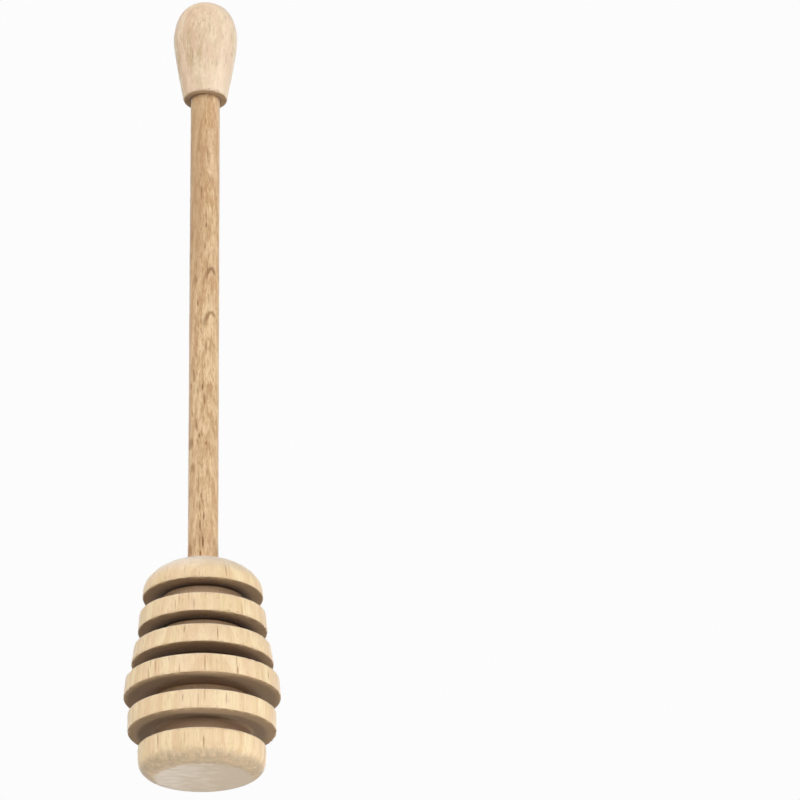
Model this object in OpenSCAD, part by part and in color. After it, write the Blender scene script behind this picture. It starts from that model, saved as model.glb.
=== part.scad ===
// Turned wooden honey dipper: a grooved head and a pear-shaped knob glued on the two ends of a dowel.
// Millimetres. The foot stands on Z = 0, and the common axis of the three pieces is Z.

/* [Overall] */
// Length from the foot to the tip of the knob
total_length = 175; // [150:1:220]

/* [Stick] */
// Diameter of the dowel
stick_d = 6.3; // [5:0.1:7]
// Chamfer on both ends of the dowel
stick_chamfer = 0.5; // [0.2:0.1:1]

/* [Head] */
// Height of the foot, the lowest ridge
foot_h = 5.75; // [4.5:0.05:8]
// Diameter of the foot
foot_d = 25.6; // [24:0.1:28]
// Diameter of the flat that the dipper stands on
foot_flat_d = 18; // [16:0.1:22.6]
// Height over which the foot rounds into its side
foot_round_h = 3.6; // [1:0.1:3.8]
// Height of each of the four middle ridges
ridge_h = 4.15; // [3:0.05:5]
// Largest diameter of the lowest middle ridge
ridge_1_d = 29.7; // [26:0.1:34]
// Largest diameter of the second ridge, the widest
ridge_2_d = 31.5; // [26:0.1:34]
// Largest diameter of the third ridge
ridge_3_d = 28.6; // [25:0.1:34]
// Largest diameter of the highest middle ridge
ridge_4_d = 26.1; // [24:0.1:32]
// Diameter of the domed top at its lower edge
dome_d = 24.4; // [23:0.1:28]
// Height of the domed top
dome_h = 8; // [6:0.1:10]
// Radius of the broken edges of the ridges and of the knob's mouth
edge_r = 0.35; // [0.1:0.05:0.6]

/* [Grooves] */
// Width of the groove above the foot
groove_1_w = 3; // [2:0.05:4]
// Width of the second groove
groove_2_w = 3.05; // [2:0.05:4]
// Width of the third groove
groove_3_w = 2.75; // [2:0.05:4]
// Width of the fourth groove
groove_4_w = 2.85; // [2:0.05:4]
// Width of the groove under the dome
groove_5_w = 3.25; // [2:0.05:4]
// Diameter at the floor of the groove above the foot, the shallowest
core_d = 20; // [14:0.1:21]

/* [Knob] */
// Height of the knob
knob_h = 22.95; // [20:0.05:28]
// Diameter of the knob at its widest
knob_d = 13.8; // [12:0.1:18]
// Diameter of the knob's lower end, round the dowel
knob_mouth_d = 9.4; // [8.8:0.1:11]
// Height of the rounded tip above the widest place
knob_tip_h = 8.9; // [6:0.1:10]

/* [Sockets] */
// Depth of the dowel's socket in the head
head_socket_depth = 19; // [12:0.5:30]
// Depth of the dowel's socket in the knob
knob_socket_depth = 12; // [8:0.5:14]

/* [Hidden] */
$fn = 96;

head_wood = [0.90, 0.77, 0.58];
stick_wood = [0.80, 0.62, 0.42];
knob_wood = [0.88, 0.75, 0.60];

// Room for glue between the dowel and a socket's wall
glue_gap = 0.05;
// Countersink at the mouth of the knob's socket, which leaves a dark line round the dowel
mouth_flare = 0.25;
// Included angle of a drill's point
drill_point = 118;
// Extra length that carries a cut past the surface that it opens
past = 1;

// Fullness of the rounded shapes, across and along the axis: 1 is a chamfer and 2 an ellipse
foot_full = [2.5, 2.5];
dome_full = [1.4, 2.6];
tip_full = [3, 2.2];
// How much the knob's flank bends as it leans out, with 1 for straight
flank_bend = 1.2;
// Radius at which the dome would end if the dowel were not in it
crown_r = 2;
// Number of straight steps in a large rounding and in a small one
fine = 24;
coarse = 10;

// From the foot up: the four middle ridges, their upper diameter as a share of the lower one,
// the five grooves, and the diameter of a groove's floor as a share of the first one's
ridge_d = [ridge_1_d, ridge_2_d, ridge_3_d, ridge_4_d];
ridge_taper = [1, 0.98, 0.965, 0.98];
groove_w = [groove_1_w, groove_2_w, groove_3_w, groove_4_w, groove_5_w];
floor_share = [1, 0.95, 0.87, 0.87, 0.83];

// Height of the lower face of each middle ridge, with the dome's as the last
ridge_z = [for (i = [0:4]) foot_h + sum_to(groove_w, i) + i * ridge_h];
dome_z = ridge_z[4];
head_h = dome_z + dome_h;
knob_z = total_length - knob_h;
socket_d = stick_d + 2 * glue_gap;

// The dowel's chamfered ends bottom out on the cones that the drill's point leaves in the sockets.
seat = (socket_d / 2 - stick_d / 2 + stick_chamfer) / tan(drill_point / 2);
stick_z = head_h - head_socket_depth - seat;
stick_top = knob_z + knob_socket_depth + seat;

function sum_to(list, last) = last < 0 ? 0 : list[last] + sum_to(list, last - 1);
function lerp(a, b, t) = a + (b - a) * t;

// A point of a rounding, with t = 0 at its wide end and t = 1 at its narrow end
function rounding(t, r, z, full) =
    [lerp(r[1], r[0], pow(cos(90 * t), 2 / full[0])), lerp(z[0], z[1], pow(sin(90 * t), 2 / full[1]))];

// The half section of a disc on the axis, with its two outer edges broken to a true radius
module disc(z, height, r_low, r_top) {
    polygon([
        [0, z], [r_low - edge_r, z], [r_low, z + edge_r],
        [r_top, z + height - edge_r], [r_top - edge_r, z + height], [0, z + height]
    ]);
    translate([r_low - edge_r, z + edge_r]) circle(edge_r);
    translate([r_top - edge_r, z + height - edge_r]) circle(edge_r);
}

module foot_section() {
    r = foot_d / 2;
    polygon(concat(
        [[0, 0]],
        [for (i = [fine:-1:0])
            rounding(i / fine, [r, foot_flat_d / 2], [foot_round_h, 0], foot_full)],
        [[r, foot_h - edge_r], [r - edge_r, foot_h], [0, foot_h]]
    ));
    translate([r - edge_r, foot_h - edge_r]) circle(edge_r);
}

module dome_section() {
    r = dome_d / 2;
    polygon(concat(
        [[0, dome_z], [r - edge_r, dome_z]],
        [for (i = [0:fine])
            rounding(i / fine, [r, crown_r], [dome_z + edge_r, head_h], dome_full)],
        [[0, head_h]]
    ));
    translate([r - edge_r, dome_z + edge_r]) circle(edge_r);
}

// The core's steps run into the discs above and below, so that only the groove shows them.
module head_section() {
    foot_section();
    for (i = [0:3]) disc(ridge_z[i], ridge_h, ridge_d[i] / 2, ridge_d[i] * ridge_taper[i] / 2);
    dome_section();
    for (i = [0:4])
        translate([0, ridge_z[i] - groove_w[i] - past])
            square([core_d * floor_share[i] / 2, groove_w[i] + 2 * past]);
}

// The knob leans out from its mouth to its widest place, then closes in a full round tip.
module knob_section() {
    wide_z = knob_h - knob_tip_h;
    mouth_r = knob_mouth_d / 2;
    polygon(concat(
        [[0, 0], [mouth_r - edge_r, 0]],
        [for (i = [0:coarse - 1]) let (t = i / coarse)
            [lerp(knob_d / 2, mouth_r, pow(1 - t, flank_bend)), lerp(edge_r, wide_z, t)]],
        [for (i = [0:fine]) rounding(i / fine, [knob_d / 2, 0], [wide_z, knob_h], tip_full)]
    ));
    translate([mouth_r - edge_r, edge_r]) circle(edge_r);
}

// A blind hole drilled down from Z = 0, with the cone that the drill's point leaves
module socket(depth) {
    tip_h = socket_d / 2 / tan(drill_point / 2);
    translate([0, 0, -depth]) cylinder(h = depth + past, d = socket_d);
    translate([0, 0, -depth - tip_h]) cylinder(h = tip_h, d1 = 0, d2 = socket_d);
}

module grooved_head() {
    color(head_wood) difference() {
        rotate_extrude() head_section();
        translate([0, 0, head_h]) socket(head_socket_depth);
    }
}

module stick() {
    r = stick_d / 2;
    end_r = r - stick_chamfer;
    color(stick_wood) rotate_extrude() polygon([
        [0, stick_z], [end_r, stick_z], [r, stick_z + stick_chamfer],
        [r, stick_top - stick_chamfer], [end_r, stick_top], [0, stick_top]
    ]);
}

module knob() {
    color(knob_wood) translate([0, 0, knob_z]) difference() {
        rotate_extrude() knob_section();
        mirror([0, 0, 1]) socket(knob_socket_depth);
        cylinder(h = mouth_flare, d1 = socket_d + 2 * mouth_flare, d2 = socket_d);
    }
}

grooved_head();
stick();
knob();
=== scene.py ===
"""Looks of the turned wooden honey dipper: beech grain, broken edges, soft light on a pale floor."""

import math
from types import SimpleNamespace

import bpy
import numpy as np
from mathutils import Matrix, Vector


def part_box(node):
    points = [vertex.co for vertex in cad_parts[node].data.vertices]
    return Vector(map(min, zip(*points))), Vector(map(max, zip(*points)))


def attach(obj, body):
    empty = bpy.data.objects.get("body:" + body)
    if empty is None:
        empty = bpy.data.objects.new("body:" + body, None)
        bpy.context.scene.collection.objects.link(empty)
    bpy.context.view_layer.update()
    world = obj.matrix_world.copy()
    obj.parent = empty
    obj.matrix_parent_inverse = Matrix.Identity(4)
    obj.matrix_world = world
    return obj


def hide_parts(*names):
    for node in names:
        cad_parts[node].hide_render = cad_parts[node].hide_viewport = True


MM = 0.001
MICRON = 0.001 * MM
NOT_ZERO = 1e-9

# What turns metres into millimetres in a material, in all directions and on the level alone
TO_MM = (1000, 1000, 1000)
LEVEL_TO_MM = (1000, 1000, 0)

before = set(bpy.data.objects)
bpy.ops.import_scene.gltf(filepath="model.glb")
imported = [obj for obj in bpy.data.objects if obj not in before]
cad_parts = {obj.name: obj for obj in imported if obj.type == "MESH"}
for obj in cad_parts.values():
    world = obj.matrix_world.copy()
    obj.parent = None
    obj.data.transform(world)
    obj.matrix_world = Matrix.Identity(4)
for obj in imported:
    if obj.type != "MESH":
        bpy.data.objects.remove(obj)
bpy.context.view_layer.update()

# Measures that the frame gives
head_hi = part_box("grooved_head")[1]
stick_lo, stick_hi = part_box("stick")
knob_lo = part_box("knob")[0]

# Measures of the CAD that its boxes don't show: the room for glue, the dowel's chamfer, the depth of the
# knob's countersink, and the heights of the foot's upper edge and the dome's lower one
GLUE_GAP = 0.05 * MM
STICK_CHAMFER = 0.5 * MM
MOUTH_FLARE = 0.25 * MM
FOOT_EDGE = 5.4 * MM
DOME_EDGE = 37.6 * MM

# The radius of the dowel, that of its sockets, and the one within which every point belongs to a socket
STICK_R = stick_hi.x
SOCKET_R = STICK_R + GLUE_GAP
BORE_LIMIT = SOCKET_R + 0.1 * MM

# A socket ends in the cone of a drill. Distances from the dowel's end: how far before it the cone begins in
# the head, how far past it the cone's point is, and a height in the knob that is above the point
CONE_START = 0.3 * MM
CONE_POINT = 1.6 * MM
PAST_CONE = 2.5 * MM

# How far the real surfaces fall short of the drawn ones
OUT_OF_ROUND = 0.05 * MM
TOOL_WAVE = 0.02 * MM
EDGE_WEAR = 0.22 * MM

# The share of the edge wear that is even all round, and the most of its radius that a ring may lose
EVEN_WEAR = 0.1
MOST_LOST = 0.1

# The most waves that each relief has round a piece, and its size along the axis
ROUND_WAVES = (3, 30 * MM)
TOOL_WAVES = (16, 2 * MM)
NICKS = (60, 2.5 * MM)
WORN_PARTS = (7, 9 * MM)

# Fineness of the turned meshes: the longest step along an outline, and the sides of a ring
RING_STEP = 0.3 * MM
STICK_STEP = 0.8 * MM
HEAD_SIDES = 320
STICK_SIDES = 160
KNOB_SIDES = 224


# Turned meshes


def cad_outline(node, drill_top):
    """The outside of a CAD node as (radius, height) points going up, without its socket below drill_top."""
    co = np.array([v.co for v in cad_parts[node].data.vertices], float)
    rz = np.column_stack([np.hypot(co[:, 0], co[:, 1]), co[:, 2]])
    rz = np.unique(np.round(rz / MICRON).astype(int), axis=0) * MICRON
    rz = rz[(rz[:, 0] > BORE_LIMIT) | (rz[:, 1] > drill_top)]
    points = []
    for z in np.unique(rz[:, 1]):
        radii = rz[np.abs(rz[:, 1] - z) < 0.1 * MICRON][:, 0]
        ends = sorted({radii.min(), radii.max()})
        if points and abs(points[-1][0] - ends[-1]) < abs(points[-1][0] - ends[0]):
            ends.reverse()
        points.extend((r, z) for r in ends)
    return points


def refined(points, step=RING_STEP, cuts=2):
    """The outline with no stretch longer than step; its corners are cut a little, which keeps it inside."""
    fine = [points[0]]
    for (r0, z0), (r1, z1) in zip(points, points[1:]):
        n = max(1, math.ceil(math.hypot(r1 - r0, z1 - z0) / step))
        fine += [(r0 + (r1 - r0) * i / n, z0 + (z1 - z0) * i / n) for i in range(1, n + 1)]
    line = np.array(fine)
    for _ in range(cuts):
        line[1:-1] = 0.25 * line[:-2] + 0.5 * line[1:-1] + 0.25 * line[2:]
    return line


def shifted(outline, along, by):
    """For each point of the outline, the place that lies the given way further along it."""
    return np.column_stack([np.interp(along + by, along, outline[:, k]) for k in (0, 1)])


def edges(outline, reach=0.4 * MM, full=0.1 * MM):
    """How sharply the outline turns outward at each point: 0 on flat faces, 1 on the broken edges."""
    along = np.concatenate([[0], np.cumsum(np.hypot(*np.diff(outline, axis=0).T))])
    before = shifted(outline, along, -reach)
    after = shifted(outline, along, reach)
    bulge = outline - (before + after) / 2
    ahead = after - before
    outward = (bulge[:, 0] * ahead[:, 1] - bulge[:, 1] * ahead[:, 0]) / (np.hypot(*ahead.T) + NOT_ZERO)
    return np.clip(outward / full, 0, 1)


def uneven(angle, z, relief, seed, waves=14, contrast=1.5):
    """A smooth random relief from 0 to 1 that joins up all the way round."""
    turns, pitch = relief
    rng = np.random.default_rng(seed)
    total = 0
    for _ in range(waves):
        n = rng.integers(1, turns + 1)
        k = rng.normal() * 2 * math.pi / pitch
        phase = rng.uniform(0, 2 * math.pi)
        total = total + np.cos(n * angle + k * z + phase)
    return 1 / (1 + np.exp(-total / math.sqrt(waves / 2) * contrast))


def lathe_loss(angle, z, worn, seed):
    """How far the turned surface falls short of the drawn one; worn is 1 on the broken edges."""
    nick = uneven(angle, z, NICKS, seed + 1) ** 3 * uneven(angle, z, WORN_PARTS, seed + 2) ** 2
    lost = OUT_OF_ROUND * uneven(angle, z, ROUND_WAVES, seed)
    lost = lost + TOOL_WAVE * uneven(angle, z, TOOL_WAVES, seed + 3)
    return lost + EDGE_WEAR * worn * (EVEN_WEAR + nick)


def swept_faces(rings, sides):
    """The quads between the rings of a turned mesh, and the triangles that close it at its two poles."""
    ring = np.arange(rings - 1)[:, None] * sides
    side = np.arange(sides)[None, :]
    following = (side + 1) % sides
    above = ring + sides
    quads = np.stack([ring + side, ring + following, above + following, above + side], axis=-1)
    low_pole = rings * sides
    high_pole = low_pole + 1
    top = low_pole - sides
    pairs = list(zip(side[0].tolist(), following[0].tolist()))
    low_cap = [(low_pole, b, a) for a, b in pairs]
    high_cap = [(high_pole, top + a, top + b) for a, b in pairs]
    return quads.reshape(-1, 4).tolist() + low_cap + high_cap


def turned(name, outline, sides, seed):
    """A closed mesh swept round Z from an outline whose ends lie on the axis, with a lathe's unevenness."""
    angle = np.linspace(0, 2 * math.pi, sides, endpoint=False)
    r = outline[1:-1, 0][:, None]
    z = outline[1:-1, 1][:, None]
    worn = edges(outline)[1:-1][:, None]
    r = r - np.minimum(lathe_loss(angle, z, worn, seed), MOST_LOST * r)
    rings = np.dstack([r * np.cos(angle), r * np.sin(angle), z + 0 * angle]).reshape(-1, 3)
    poles = [[0, 0, outline[0, 1]], [0, 0, outline[-1, 1]]]
    mesh = bpy.data.meshes.new(name)
    mesh.from_pydata(np.vstack([rings, poles]).tolist(), [], swept_faces(len(r), sides))
    mesh.shade_smooth()
    piece = bpy.data.objects.new(name, mesh)
    bpy.context.scene.collection.objects.link(piece)
    return piece


def keep_value(piece, name, sides, ring_values):
    """A number for each ring of a turned mesh, kept on its points for the material to read."""
    values = np.repeat(ring_values[1:-1], sides).tolist() + [ring_values[0], ring_values[-1]]
    layer = piece.data.attributes.new(name, "FLOAT", "POINT")
    layer.data.foreach_set("value", values)


# Pieces


def among_ridges(outline):
    """1 for the outside of the head from the foot's upper edge to the dome's lower edge, else 0."""
    r, z = outline.T
    return ((z > FOOT_EDGE) & (z < DOME_EDGE) & (r > BORE_LIMIT)).astype(float)


def groove_depth(outline, reach=2.4 * MM, full=4.5 * MM):
    """How far each point of the head's outline lies below the rims beside it, from 0 to 1."""
    r, z = outline.T
    depth = np.zeros(len(r))
    for i in np.flatnonzero(among_ridges(outline)):
        near = np.abs(z - z[i]) < reach
        depth[i] = r[near].max() - r[i]
    return np.clip(depth / full, 0, 1)


def make_head():
    outer = cad_outline("grooved_head", drill_top=head_hi.z + MM)
    low = stick_lo.z
    bore = [(SOCKET_R, head_hi.z), (SOCKET_R, low + CONE_START), (0, low - CONE_POINT)]
    outline = refined([(0, 0)] + outer + bore)
    piece = turned("head_turned", outline, HEAD_SIDES, seed=11)
    keep_value(piece, "edge", HEAD_SIDES, edges(outline))
    keep_value(piece, "groove", HEAD_SIDES, groove_depth(outline))
    keep_value(piece, "ridges", HEAD_SIDES, among_ridges(outline))
    return piece


def make_stick():
    low = stick_lo.z
    high = stick_hi.z
    end_r = STICK_R - STICK_CHAMFER
    points = [
        (0, low), (end_r, low), (STICK_R, low + STICK_CHAMFER),
        (STICK_R, high - STICK_CHAMFER), (end_r, high), (0, high),
    ]
    return turned("stick_turned", refined(points, step=STICK_STEP, cuts=1), STICK_SIDES, seed=23)


def make_knob():
    high = stick_hi.z
    outer = cad_outline("knob", drill_top=high + PAST_CONE)
    bore = [(0, high + CONE_POINT), (SOCKET_R, high), (SOCKET_R, knob_lo.z + MOUTH_FLARE)]
    outline = refined(bore + outer)
    piece = turned("knob_turned", outline, KNOB_SIDES, seed=37)
    keep_value(piece, "edge", KNOB_SIDES, edges(outline))
    return piece


# Beech


def seen(red, green, blue):
    """The colour that a screen shows as these three numbers from 0 to 255, by the sRGB rule."""
    parts = [c / 255 for c in (red, green, blue)]
    return (*[c / 12.92 if c <= 0.04045 else ((c + 0.055) / 1.055) ** 2.4 for c in parts], 1)


class Graph:
    """Short calls that add nodes to a tree; an input takes a link, a number or a tuple."""

    def __init__(self, tree):
        self.tree = tree
        tree.nodes.clear()
        self.coords = self.add("ShaderNodeTexCoord", {}).outputs

    def add(self, kind, inputs, **settings):
        node = self.tree.nodes.new(kind)
        for key, value in settings.items():
            setattr(node, key, value)
        for key, value in inputs.items():
            if isinstance(value, bpy.types.NodeSocket):
                self.tree.links.new(value, node.inputs[key])
            else:
                node.inputs[key].default_value = value
        return node

    def math(self, operation, *values, clamp=False):
        inputs = dict(enumerate(values))
        return self.add("ShaderNodeMath", inputs, operation=operation, use_clamp=clamp).outputs[0]

    def vector(self, operation, a, b):
        return self.add("ShaderNodeVectorMath", {0: a, 1: b}, operation=operation).outputs[0]

    def dot(self, a, b):
        return self.add("ShaderNodeVectorMath", {0: a, 1: b}, operation="DOT_PRODUCT").outputs["Value"]

    def length(self, vector):
        return self.add("ShaderNodeVectorMath", {0: vector}, operation="LENGTH").outputs["Value"]

    def part(self, vector, axis):
        """One number of a vector: 0, 1 or 2 for the one along X, Y or Z."""
        unit = [0.0, 0.0, 0.0]
        unit[axis] = 1.0
        return self.dot(vector, unit)

    def join(self, x, y, z):
        return self.add("ShaderNodeCombineXYZ", {0: x, 1: y, 2: z}).outputs[0]

    def step(self, value, start, end):
        """A smooth rise from 0 at start to 1 at end."""
        inputs = {"Value": value, "From Min": start, "From Max": end}
        return self.add("ShaderNodeMapRange", inputs, interpolation_type="SMOOTHSTEP").outputs[0]

    def ramp(self, value, start, end, low, high):
        """A straight change from low at start to high at end."""
        inputs = {"Value": value, "From Min": start, "From Max": end, "To Min": low, "To Max": high}
        return self.add("ShaderNodeMapRange", inputs).outputs[0]

    def noise(self, place, size, detail=2.0, output=0):
        """Noise whose features are about size millimetres along each axis."""
        inputs = {"Vector": self.vector("DIVIDE", place, size), "Scale": 1.0}
        inputs.update({"Detail": detail, "Roughness": 0.5})
        return self.add("ShaderNodeTexNoise", inputs).outputs[output]

    def attribute(self, name):
        return self.add("ShaderNodeAttribute", {}, attribute_name=name).outputs["Fac"]

    def mix(self, share, a, b):
        return self.add("ShaderNodeMix", {0: share, 6: a, 7: b}, data_type="RGBA").outputs[2]

    def cover(self, colour, over, amount, share):
        """The colour with another one laid over it, by a share of the amount."""
        return self.mix(self.math("MULTIPLY", amount, share), colour, over)


# In what follows, a pair says at which value a pattern begins to show and at which it shows in full, and a
# size of three numbers is in millimetres, with the one along the fibres last

RING_RISE = (0.35, 0.93)
RING_FALL = (1.0, 0.93)
RING_WAVE_SIZE = (9, 9, 40)
RING_WAVE = 0.9

# A fleck has a cell this many times its size, which reaches this many millimetres across the rings
FLECK_EDGE = (0.34, 0.1)
FLECK_ROOM = 2.4
RAY_DEPTH = 14.0


def grain_place(g, wood):
    """A place in the tree: along the rings, across the rings and along the fibres, in millimetres."""
    turn = (0, 0, math.radians(wood["turn"]))
    inputs = {"Vector": g.coords["Object"], "Location": wood["cut_from"], "Rotation": turn, "Scale": TO_MM}
    place = g.add("ShaderNodeMapping", inputs).outputs[0]
    for size, reach in (wood["wander"], wood["ripple"]):
        sway = g.vector("SUBTRACT", g.noise(place, size, detail=1.5, output="Color"), (0.5, 0.5, 0.5))
        place = g.vector("ADD", place, g.vector("MULTIPLY", sway, reach))
    height = g.part(place, 2)
    aside, across = [g.math("MULTIPLY", height, share) for share in wood["lean"]]
    return g.vector("ADD", place, g.join(aside, across, 0.0))


def growth_rings(g, place, wood):
    """The dark late wood at the end of each year's ring, 0 to 1, and a number that differs by the ring."""
    along = g.part(place, 0)
    bowed = g.math("MULTIPLY_ADD", g.math("MULTIPLY", along, along), wood["bow"], g.part(place, 1))
    wave = g.math("MULTIPLY", g.noise(place, RING_WAVE_SIZE, detail=1), RING_WAVE)
    phase = g.math("ADD", g.math("DIVIDE", bowed, wood["ring"]), wave)
    through = g.math("FRACT", phase)
    late = g.math("MULTIPLY", g.step(through, *RING_RISE), g.step(through, *RING_FALL))
    year = g.add("ShaderNodeTexWhiteNoise", {"W": g.math("FLOOR", phase)}, noise_dimensions="1D")
    return late, year.outputs["Value"]


def flecks(g, place, width, length, kept):
    """The ends of the wood's rays: short dark dashes along the fibres, a kept share of them."""
    cell = (width * FLECK_ROOM, RAY_DEPTH, length * FLECK_ROOM)
    spots = g.add("ShaderNodeTexVoronoi", {"Vector": g.vector("DIVIDE", place, cell), "Scale": 1.0})
    dash = g.step(spots.outputs["Distance"], *FLECK_EDGE)
    return g.math("MULTIPLY", dash, g.step(g.part(spots.outputs["Color"], 0), 1 - kept, 1.0))


# The edge of a single dash, as a distance from its middle that is counted in shares of its width and length
DASH_EDGE = (1.35, 0.3)
DASH_ACROSS = 1.7
DASH_ALONG = 2

# A bow's line, how far in millimetres to each side of its middle its two legs blend, and its waviness
BOW_LINE = (0.44, 0.08)
BOW_MIDDLE = 0.3
BOW_WAVE_SIZE = (0.5, 0.5, 0.9)
BOW_WAVE = 0.9
LEG_FADE = (-1.0, -0.3)


def facing_place(g, azimuth, height):
    """A place in millimetres as seen from an azimuth: outward, aside and up from a height."""
    turn = (0, 0, math.radians(-azimuth))
    inputs = {"Vector": g.coords["Object"], "Location": (0, 0, -height), "Rotation": turn, "Scale": TO_MM}
    return g.add("ShaderNodeMapping", inputs).outputs[0]


def near_side(g, place, depth):
    """The depth on the side of the piece that a mark is on, and 0 on the other."""
    return g.math("MULTIPLY", g.math("GREATER_THAN", g.part(place, 0), 0.0), depth)


def single_dashes(g, dashes):
    """Dashes at given places, each with its azimuth, height, length, width and depth of colour."""
    total = 0.0
    for azimuth, height, length, width, depth in dashes:
        place = facing_place(g, azimuth, height)
        far = g.length(g.vector("MULTIPLY", place, (0, DASH_ACROSS / width, DASH_ALONG / length)))
        dash = g.math("MULTIPLY", g.step(far, *DASH_EDGE), near_side(g, place, depth))
        total = g.math("MAXIMUM", total, dash)
    return total


def arches(g, bows):
    """Year rings cut as bows: azimuth, height of the top, width 1 mm below it, left and right leg, depth.

    Azimuths are in degrees and the rest is in millimetres, but for the depth of colour, which is a share.
    """
    wave = g.noise(g.vector("MULTIPLY", g.coords["Object"], TO_MM), BOW_WAVE_SIZE, detail=1)
    wave = g.math("MULTIPLY", g.math("SUBTRACT", wave, 0.5), BOW_WAVE)
    total = 0.0
    for azimuth, height, width, left, right, depth in bows:
        place = facing_place(g, azimuth, height)
        aside = g.part(place, 1)
        up = g.part(place, 2)
        bend = 4 / width ** 2
        below = g.math("MULTIPLY_ADD", g.math("MULTIPLY", aside, aside), bend, up)
        below = g.math("ABSOLUTE", g.math("ADD", below, wave))
        steep = g.math("MULTIPLY_ADD", g.math("ABSOLUTE", aside), 2 * bend, 1.0)
        line = g.step(g.math("DIVIDE", below, steep), *BOW_LINE)
        leg = g.ramp(aside, -BOW_MIDDLE, BOW_MIDDLE, left, right)
        fade = g.step(g.math("DIVIDE", up, leg), *LEG_FADE)
        shown = g.math("MULTIPLY", fade, near_side(g, place, depth))
        total = g.math("MAXIMUM", total, g.math("MULTIPLY", line, shown))
    return total


PORE_SIZE = (0.11, 0.11, 1.3)
FLECKED = (0.35, 0.95)


def patterns(g, wood):
    """What the wood's colour, roughness and bump share."""
    place = grain_place(g, wood)
    late, year = growth_rings(g, place, wood)
    grain = SimpleNamespace(place=place, late=late, year=year)
    grain.normal = g.coords["Normal"]
    grain.facing_up = g.part(grain.normal, 2)
    grain.broad = g.noise(place, wood["broad"])
    grain.narrow = g.noise(place, wood["narrow"])
    grain.pores = g.noise(place, PORE_SIZE, detail=1)
    grain.long_dash = flecks(g, place, *wood["long_dash"])
    grain.short_dash = flecks(g, place, *wood["short_dash"])
    if "flecked_side" in wood:
        side = math.radians(wood["flecked_side"])
        facing = g.dot(grain.normal, (math.cos(side), math.sin(side), 0))
        flecked = g.step(g.math("ABSOLUTE", facing), *FLECKED)
        grain.long_dash = g.math("MULTIPLY", grain.long_dash, flecked)
        grain.short_dash = g.math("MULTIPLY", grain.short_dash, flecked)
    grain.marks = single_dashes(g, wood["marks"])
    if "arches" in wood:
        grain.marks = g.math("MAXIMUM", grain.marks, arches(g, wood["arches"]))
    return grain


TONE = (0.36, 0.66)
BROAD_SHARE = 0.55
NARROW_SHARE = 0.45
YEAR_SHARE = 0.12
DRIFT = (0.42, 0.62)
PORE = (0.56, 0.74)


def fibre_colour(g, grain, wood):
    """The colour along the fibres: streaks, pink drifts, late wood, pores, ray flecks and single marks."""
    tone = g.math("MULTIPLY", grain.broad, BROAD_SHARE)
    tone = g.math("MULTIPLY_ADD", grain.narrow, NARROW_SHARE, tone)
    tone = g.math("MULTIPLY_ADD", g.math("SUBTRACT", grain.year, 0.5), YEAR_SHARE, tone)
    colour = g.mix(g.step(tone, *TONE), wood["pale"], wood["deep"])
    drift = g.noise(grain.place, wood["drift_size"], detail=1)
    colour = g.cover(colour, wood["pink"], g.step(drift, *DRIFT), wood["drift"])
    colour = g.cover(colour, wood["late_colour"], grain.late, wood["late"])
    colour = g.cover(colour, wood["dash_colour"], g.step(grain.pores, *PORE), wood["pores"])
    colour = g.cover(colour, wood["dash_colour"], grain.short_dash, wood["short"])
    colour = g.cover(colour, wood["dash_colour"], grain.long_dash, wood["long"])
    return g.mix(grain.marks, colour, wood["mark_colour"])


END_TONE = (0.3, 0.95)
MOTTLE_SIZE = (2.6, 1.1, 9)
FINE_SIZE = (0.14, 0.14, 5)
FINE_SHARE = 0.25
PALER_ALONG = 0.032

PATCH_SIZE = (1.3, 1.3, 1.6)
PATCH = (0.35, 0.65)
PATCH_SHARE = 0.35
SPECKLE_SHARE = 0.8
SLANT_LEAST = 0.1
# The downward slope at which the darker slant colour, partly painted shade, begins and is full
SLOPE_DOWN = (-0.18, -0.85)
FACES_UP = (0.1, 0.9)
FACES_DOWN = (-0.9, -0.96)

# The pale patch on the foot's flat: its middle, and in millimetres its edge and how far that wanders
PATCH_MIDDLE = (0.4 * MM, 2.5 * MM, 0)
PATCH_EDGE = (11.2, 9.9)
PATCH_WANDER = 1.6


def end_grain(g, grain, wood):
    """The faces cut across the fibres: paler on one side of the tree, mottled, with faint rings."""
    mottle = g.noise(grain.place, MOTTLE_SIZE, detail=3)
    fine = g.noise(grain.place, FINE_SIZE, detail=1)
    tone = g.math("MULTIPLY_ADD", fine, FINE_SHARE, mottle)
    tone = g.math("MULTIPLY_ADD", g.part(grain.place, 0), PALER_ALONG, tone)
    colour = g.mix(g.step(tone, *END_TONE), wood["end_pale"], wood["end_deep"])
    return g.cover(colour, wood["end_late"], grain.late, wood["end_late_share"])


def cut_colour(g, colour, grain, wood):
    """The colour, changed where the surface slants from the fibres, darker on downward slopes as grain and
    painted shade, and where it lies across them.
    """
    patchy = g.noise(grain.place, PATCH_SIZE)
    speckle = g.math("MULTIPLY_ADD", grain.narrow, SPECKLE_SHARE, SLANT_LEAST)
    speckle = g.math("MULTIPLY_ADD", g.step(patchy, *PATCH), PATCH_SHARE, speckle)
    # Darker where the surface slopes down: partly slant-cut grain, partly painted shade
    darker_slope = g.math("MULTIPLY", g.step(grain.facing_up, *SLOPE_DOWN), speckle)
    colour = g.mix(darker_slope, colour, wood["slant_and_shade"])
    level = g.vector("MULTIPLY", g.vector("SUBTRACT", g.coords["Object"], PATCH_MIDDLE), LEVEL_TO_MM)
    radius = g.math("MULTIPLY_ADD", patchy, PATCH_WANDER, g.length(level))
    flat = g.math("MULTIPLY", g.step(radius, *PATCH_EDGE), g.step(grain.facing_up, *FACES_DOWN))
    across = g.math("MAXIMUM", g.step(grain.facing_up, *FACES_UP), flat)
    return g.mix(across, colour, end_grain(g, grain, wood))


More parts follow.
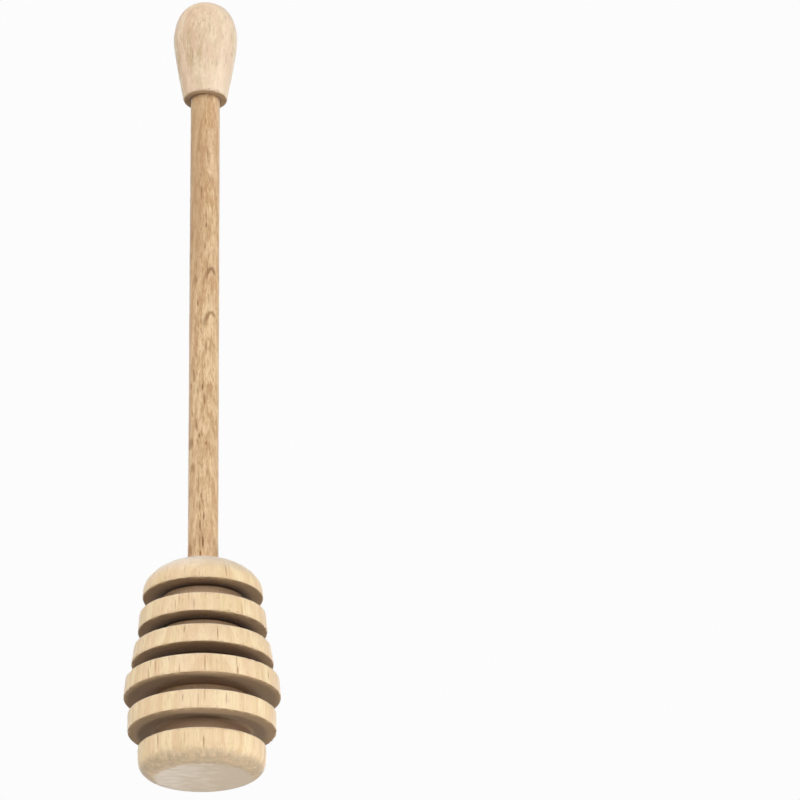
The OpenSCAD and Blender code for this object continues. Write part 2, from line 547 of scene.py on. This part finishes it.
# These steps place the painted shade on the groove floors and on the ridges' undersides
GROOVE_STREAKS = (0.3, 0.7)
GROOVE_SIDE = (0.0, 0.32)
LOWEST_GROOVE = (12 * MM, 9 * MM)
UPPER_GROOVES = (12 * MM, 30 * MM)
FACES_GROOVE = (-0.2, -0.65)
FAR_IN = (0.1, 1.0)


def painted_groove_shade(g, colour, grain, wood):
    """Painted shade in the grooves: darker floors, and undersides that are darkest far in and high up."""
    depth = g.attribute("groove")
    height = g.part(g.coords["Object"], 2)
    inside = g.mix(g.step(grain.narrow, *GROOVE_STREAKS), wood["groove"][0], wood["groove"][1])
    inside = g.mix(g.step(height, *LOWEST_GROOVE), inside, wood["groove"][2])
    colour = g.mix(g.step(depth, *GROOVE_SIDE), colour, inside)
    under = g.math("MULTIPLY", g.attribute("ridges"), g.step(grain.facing_up, *FACES_GROOVE))
    far_in = g.mix(g.step(height, *UPPER_GROOVES), wood["under"][1], wood["under"][2])
    underside = g.mix(g.step(depth, *FAR_IN), wood["under"][0], far_in)
    return g.mix(under, colour, underside)


# How far a surface must face a side before its painted light or shade begins and is full
PAINTED_FACING = (0.1, 0.9)


def paint_light_and_shade(g, colour, grain, wood):
    """Painted light and shade by the side a surface faces: the side each one faces, the heights from none
    to all, colour and share.
    """
    height = g.part(g.coords["Object"], 2)
    for side, start, end, painted, share in wood["light_and_shade"]:
        amount = g.step(g.dot(grain.normal, side), *PAINTED_FACING)
        if start is not None:
            amount = g.math("MULTIPLY", amount, g.step(height, start * MM, end * MM))
        colour = g.cover(colour, painted, amount, share)
    return colour


RUB_SIZE = (1.6, 1.6, 1.6)
RUBBED = (0.4, 0.7)
RUB_SHARE = 0.5


def rubbed_edges(g, colour, grain, wood):
    """The broken edges, rubbed darker in patches."""
    rubbed = g.step(g.noise(grain.place, RUB_SIZE), *RUBBED)
    return g.cover(colour, wood["edge"], g.math("MULTIPLY", g.attribute("edge"), rubbed), RUB_SHARE)


SMOOTHEST = 0.52
ROUGHEST = 0.74
STREAK_HEIGHT = -0.35
PORE_HOLLOW = (0.55, 0.72)
LATE_HOLLOW = 0.4
RELIEF = 0.03 * MM
RELIEF_STRENGTH = 0.6


def wood_surface(g, colour, grain):
    """The shader, its roughness and bump following the same patterns as the colour."""
    hollow = g.math("MULTIPLY_ADD", grain.late, LATE_HOLLOW, grain.long_dash)
    hollow = g.math("ADD", g.math("ADD", hollow, grain.marks), g.step(grain.pores, *PORE_HOLLOW))
    height = g.math("SUBTRACT", g.math("MULTIPLY", grain.narrow, STREAK_HEIGHT), hollow)
    bump = g.add("ShaderNodeBump", {"Strength": RELIEF_STRENGTH, "Distance": RELIEF, "Height": height})
    inputs = {
        "Base Color": colour, "Roughness": g.ramp(grain.narrow, 0, 1, SMOOTHEST, ROUGHEST),
        "Normal": bump.outputs[0], "Specular IOR Level": 0.3, "Sheen Weight": 0.8, "Sheen Roughness": 0.3,
    }
    shader = g.add("ShaderNodeBsdfPrincipled", inputs)
    g.add("ShaderNodeOutputMaterial", {"Surface": shader.outputs[0]})


def beech(name, wood):
    """Beech with its rings, streaks of fibre, ray flecks, pores and end grain."""
    material = bpy.data.materials.new(name)
    material.use_nodes = True
    g = Graph(material.node_tree)
    grain = patterns(g, wood)
    colour = fibre_colour(g, grain, wood)
    colour = cut_colour(g, colour, grain, wood)
    # The grooves' darker floors and undersides are painted shade
    if "groove" in wood:
        colour = painted_groove_shade(g, colour, grain, wood)
    # Painted light and shade on the sides that face the lamps or lie in shade
    if "light_and_shade" in wood:
        colour = paint_light_and_shade(g, colour, grain, wood)
    if "edge" in wood:
        colour = rubbed_edges(g, colour, grain, wood)
    wood_surface(g, colour, grain)
    return material


# Single dark dashes: azimuth in degrees, height of the middle, length and width in millimetres, and the
# depth of colour. A material with many more of them can grow too large for Cycles and render black.
HEAD_MARKS = [
    (-67.5, 39.5, 3.6, 0.26, 0.8), (-107.5, 40.0, 3.5, 0.22, 0.4), (-97.7, 31.4, 2.7, 0.30, 0.6),
    (-114.8, 31.6, 2.6, 0.24, 0.5), (-105.1, 25.7, 2.1, 0.28, 0.9), (-77.9, 24.9, 3.4, 0.24, 0.85),
    (-131.4, 19.5, 2.6, 0.28, 0.6), (-88.3, 17.9, 4.2, 0.25, 0.75), (-63.7, 16.9, 2.2, 0.28, 0.85),
    (-33.6, 17.9, 2.0, 0.28, 0.9), (-105.0, 11.2, 1.8, 0.26, 0.6), (-71.5, 11.1, 2.7, 0.24, 0.6),
    (-93.2, 10.8, 3.2, 0.22, 0.55), (-88.5, 2.8, 2.5, 0.30, 0.9),
]
STICK_MARKS = [
    (-79.3, 137.3, 4.4, 0.30, 0.5), (-114.0, 130.8, 2.6, 0.28, 0.55), (-103.2, 128.4, 3.5, 0.30, 0.65),
    (-130.0, 127.2, 3.0, 0.30, 0.5), (-83.5, 120.6, 1.5, 0.36, 0.9), (-88.5, 115.7, 1.8, 0.28, 0.6),
    (-114.6, 102.3, 1.4, 0.30, 0.7), (-127.5, 99.4, 1.8, 0.28, 0.6), (-95.2, 83.1, 1.6, 0.36, 0.9),
    (-107.5, 72.2, 1.3, 0.32, 0.9), (-80.7, 70.5, 0.9, 0.36, 0.8), (-107.7, 62.0, 4.4, 0.20, 0.7),
    (-97.9, 58.9, 1.4, 0.30, 0.7), (-87.9, 54.3, 2.2, 0.34, 0.9), (-101.8, 52.5, 2.4, 0.32, 0.9),
    (-90.8, 48.7, 3.4, 0.36, 1.0), (-100.5, 46.2, 1.3, 0.36, 1.0),
]
STICK_ARCHES = [(-63.0, 110.5, 1.5, 3.8, 1.8, 0.75), (-63.0, 100.3, 1.7, 4.6, 1.2, 0.7)]
KNOB_MARKS = [
    (-117.0, 160.4, 2.4, 0.35, 0.5), (-65.4, 158.3, 1.6, 0.40, 0.7), (-76.2, 158.3, 1.2, 0.40, 0.6),
    (-45.7, 158.3, 1.2, 0.35, 0.5), (-84.0, 167.4, 3.0, 0.30, 0.4), (-87.3, 161.5, 2.8, 0.30, 0.35),
    (-80.0, 155.2, 1.2, 0.30, 0.5), (-131.2, 156.3, 1.4, 0.30, 0.4),
]

# What each piece is cut from. turn and cut_from say where it was in the tree, lean how its fibres tilt, bow
# how its rings bend and ring how wide they are. wander and ripple are the size and the reach of the grain's
# waves, and long_dash and short_dash the width, the length and the kept share of the rays' ends.
HEAD_WOOD = {
    "turn": -8, "cut_from": (3.0, 41.0, 7.0), "lean": (0.012, 0.02), "bow": 0.004, "ring": 2.3,
    "wander": ((16, 16, 60), (1.4, 1.8, 0)), "ripple": ((2, 2, 6), (0.12, 0.12, 0)),
    "broad": (1.1, 1.1, 26), "narrow": (0.32, 0.32, 6),
    "pale": seen(245, 223, 183), "deep": seen(231, 204, 158), "pink": seen(237, 205, 171),
    "drift_size": (2.6, 2.6, 60), "drift": 0.45, "late": 0.35, "late_colour": seen(220, 180, 136),
    "pores": 0.3, "dash_colour": seen(186, 143, 104), "short": 0.45, "long": 0.7,
    "long_dash": (0.26, 3.2, 0.8), "short_dash": (0.14, 1.1, 0.6),
    "marks": HEAD_MARKS, "mark_colour": seen(170, 128, 88),
    # The slant colour is partly painted shade on faces that slope down
    "slant_and_shade": seen(184, 162, 134), "edge": seen(206, 174, 134),
    "end_pale": seen(234, 219, 202), "end_deep": seen(208, 190, 166), "end_late": seen(204, 186, 163),
    "end_late_share": 0.12,
    # Colours of the painted shade: groove floors (two streaks and the lowest groove), undersides (rim, far
    # in low, far in high)
    "groove": (seen(212, 184, 152), seen(202, 172, 140), seen(168, 138, 110)),
    "under": (seen(146, 119, 86), seen(152, 128, 100), seen(36, 22, 8)),
}
STICK_WOOD = {
    "turn": -24, "cut_from": (0.0, 5.0, 3.0), "lean": (0.03, 0.093), "bow": 0.01, "ring": 0.95,
    "wander": ((6, 6, 24), (0.7, 0.35, 0)), "ripple": ((0.8, 0.8, 1.8), (0.42, 0.42, 0)),
    "broad": (0.8, 0.8, 5), "narrow": (0.26, 0.26, 1.5),
    "pale": seen(231, 202, 159), "deep": seen(194, 154, 110), "pink": seen(206, 166, 130),
    "drift_size": (3, 3, 30), "drift": 0.28, "late": 0.2, "late_colour": seen(176, 136, 94),
    "pores": 0.45, "dash_colour": seen(150, 107, 66), "short": 0.75, "long": 0.85,
    "long_dash": (0.3, 2.4, 0.9), "short_dash": (0.17, 1.3, 0.8),
    "flecked_side": -115,
    "marks": STICK_MARKS, "arches": STICK_ARCHES, "mark_colour": seen(128, 84, 46),
    # Painted shade on the upper left of the stick, below the knob
    "light_and_shade": (((-0.87, -0.5, 0.0), 98, 122, seen(176, 138, 98), 0.55),),
    # The slant colour is partly painted shade on faces that slope down
    "slant_and_shade": seen(180, 146, 108),
    "end_pale": seen(200, 168, 130), "end_deep": seen(180, 146, 108), "end_late": seen(168, 132, 96),
    "end_late_share": 0.5,
}
KNOB_WOOD = {
    "turn": 12, "cut_from": (0.0, 23.0, 31.0), "lean": (-0.02, 0.06), "bow": 0.008, "ring": 1.7,
    "wander": ((7, 7, 16), (1.4, 1.0, 0)), "ripple": ((1.0, 1.0, 2.2), (0.5, 0.5, 0)),
    "broad": (1.2, 1.2, 4.5), "narrow": (0.32, 0.32, 1.4),
    "pale": seen(240, 220, 189), "deep": seen(204, 176, 138), "pink": seen(226, 191, 165),
    "drift_size": (2.4, 2.4, 8), "drift": 0.6, "late": 0.2, "late_colour": seen(208, 176, 136),
    "pores": 0.4, "dash_colour": seen(176, 140, 104), "short": 0.6, "long": 0.75,
    "long_dash": (0.3, 1.8, 0.9), "short_dash": (0.18, 1.0, 0.8),
    "marks": KNOB_MARKS, "mark_colour": seen(168, 130, 98),
    # Painted light on the lower front right and on the right, and painted shade on the faces that turn down
    # round the mouth
    "light_and_shade": (
        ((0.35, -0.94, 0.0), 160, 155, seen(250, 228, 202), 0.4),
        ((0.85, -0.53, 0.0), None, None, seen(252, 232, 206), 0.32),
        ((0.0, 0.0, -1.0), None, None, seen(158, 126, 90), 0.9),
    ),
    # The slant colour is partly painted shade on faces that slope down
    "slant_and_shade": seen(196, 168, 138), "edge": seen(206, 176, 144),
    "end_pale": seen(224, 198, 168), "end_deep": seen(208, 180, 150), "end_late": seen(190, 160, 128),
    "end_late_share": 0.4,
}

pieces = {
    "grooved_head": (make_head(), "head_beech", beech("head beech", HEAD_WOOD)),
    "stick": (make_stick(), "stick_beech", beech("stick beech", STICK_WOOD)),
    "knob": (make_knob(), "knob_beech", beech("knob beech", KNOB_WOOD)),
}
for node, (piece, slot, material) in pieces.items():
    piece.data.materials.append(material)
    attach(piece, "root")
    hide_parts(node)


# Studio

BACKGROUND = (0.975, 0.975, 0.975, 1)
WHITE = (1, 1, 1, 1)
FLOOR_GREY = (0.80, 0.80, 0.80, 1)
FLOOR_HALF = 3.0
FLOOR_DROP = 0.05 * MM

# Distances in metres between which the paper fades in to the background
FLOOR_FADE = (0.12, 0.7)

# The soft light from below and from above, and the slopes between which the one becomes the other
WORLD_BELOW = 0.115
WORLD_ABOVE = 0.215
WORLD_TURN = (-0.15, 0.5)

# Where the lamps aim, in metres
MIDDLE = (0, 0, 0.08)
HEAD = (0, 0, 0.02)
FOOT = (0, 0, 0)

# Each lamp's name, place, aim, size and power
LAMPS = [
    ("front", (0.09, -1.5, 0.29), MIDDLE, 0.75, 9.7),
    ("key", (1.08, -0.60, 0.80), MIDDLE, 0.9, 9.9),
    ("fill", (-1.11, -0.57, 0.785), MIDDLE, 0.9, 11.1),
    ("back", (0.075, 1.35, 0.59), MIDDLE, 0.9, 12.6),
    ("low right", (0.425, -0.06, -0.37), HEAD, 0.2, 1.6),
    ("low left", (-0.405, -0.147, -0.37), HEAD, 0.2, 0.65),
    ("bounce", (0.0, -0.08, -0.6), FOOT, 0.15, 1.3),
]

# The camera that a perspective fit of the outline and the ridge edges gives for the photograph. Its lens
# and sensor are in millimetres, and the nearest and farthest places that it shows in metres.
EYE = Vector((0, -703.5, -240.66)) * MM
PITCH = math.radians(24.589)
YAW = math.radians(3.300)
ROLL = math.radians(-1.087)
LEVEL = math.radians(90)
LENS = 168.42
SENSOR = 36
NEAREST = 0.05
FARTHEST = 20


def looking_rays(g):
    """1 for the rays that show a background: the camera's own, and those by way of a gloss or a glass."""
    kinds = g.add("ShaderNodeLightPath", {}).outputs
    mirrored = g.math("ADD", kinds["Is Glossy Ray"], kinds["Is Transmission Ray"])
    return g.math("ADD", kinds["Is Camera Ray"], mirrored, clamp=True)


def pale_paper():
    """Paper that keeps the shadow, fades in to the background and is clear from below and to the lamps."""
    material = bpy.data.materials.new("pale floor")
    material.use_nodes = True
    g = Graph(material.node_tree)
    from_below = g.add("ShaderNodeNewGeometry", {}).outputs["Backfacing"]
    seen_above = g.math("SUBTRACT", looking_rays(g), from_below, clamp=True)
    clear = g.add("ShaderNodeBsdfTransparent", {}).outputs[0]
    paper = g.add("ShaderNodeBsdfDiffuse", {"Color": FLOOR_GREY}).outputs[0]
    white = g.add("ShaderNodeEmission", {"Color": BACKGROUND, "Strength": 1.0}).outputs[0]
    faded = g.step(g.length(g.coords["Object"]), *FLOOR_FADE)
    fading = g.add("ShaderNodeMixShader", {0: faded, 1: paper, 2: white}).outputs[0]
    look = g.add("ShaderNodeMixShader", {0: seen_above, 1: clear, 2: fading}).outputs[0]
    g.add("ShaderNodeOutputMaterial", {0: look})
    return material


def make_floor():
    mesh = bpy.data.meshes.new("floor")
    corners = [(x * FLOOR_HALF, y * FLOOR_HALF, 0) for x, y in ((-1, -1), (1, -1), (1, 1), (-1, 1))]
    mesh.from_pydata(corners, [], [(0, 1, 2, 3)])
    mesh.materials.append(pale_paper())
    floor = bpy.data.objects.new("floor", mesh)
    floor.location.z = -FLOOR_DROP
    bpy.context.scene.collection.objects.link(floor)


def make_light(name, at, aim, size, power):
    lamp = bpy.data.lights.new(name, "AREA")
    lamp.shape = "DISK"
    lamp.size = size
    lamp.energy = power
    thing = bpy.data.objects.new(name, lamp)
    thing.location = at
    thing.rotation_mode = "QUATERNION"
    thing.rotation_quaternion = (Vector(aim) - Vector(at)).to_track_quat("-Z", "Y")
    bpy.context.scene.collection.objects.link(thing)


def make_world():
    """Soft light that is stronger from above, and a white background for the camera."""
    world = bpy.data.worlds.new("studio")
    bpy.context.scene.world = world
    world.use_nodes = True
    g = Graph(world.node_tree)
    up = g.step(g.part(g.coords["Generated"], 2), *WORLD_TURN)
    level = g.ramp(up, 0, 1, WORLD_BELOW, WORLD_ABOVE)
    fill = g.add("ShaderNodeBackground", {"Color": WHITE, "Strength": level}).outputs[0]
    white = g.add("ShaderNodeBackground", {"Color": BACKGROUND, "Strength": 1.0}).outputs[0]
    look = g.add("ShaderNodeMixShader", {0: looking_rays(g), 1: fill, 2: white}).outputs[0]
    g.add("ShaderNodeOutputWorld", {0: look})


def make_camera():
    turn = Matrix.Rotation(-YAW, 4, "Z") @ Matrix.Rotation(LEVEL + PITCH, 4, "X")
    turn = turn @ Matrix.Rotation(ROLL, 4, "Z")
    cam = bpy.data.cameras.new("camera")
    cam.sensor_width = SENSOR
    cam.lens = LENS
    cam.clip_start = NEAREST
    cam.clip_end = FARTHEST
    thing = bpy.data.objects.new("camera", cam)
    thing.matrix_world = Matrix.Translation(EYE) @ turn
    bpy.context.scene.collection.objects.link(thing)
    bpy.context.scene.camera = thing


make_floor()
for lamp in LAMPS:
    make_light(*lamp)
make_world()
make_camera()
bpy.context.scene.view_settings.view_transform = "Standard"
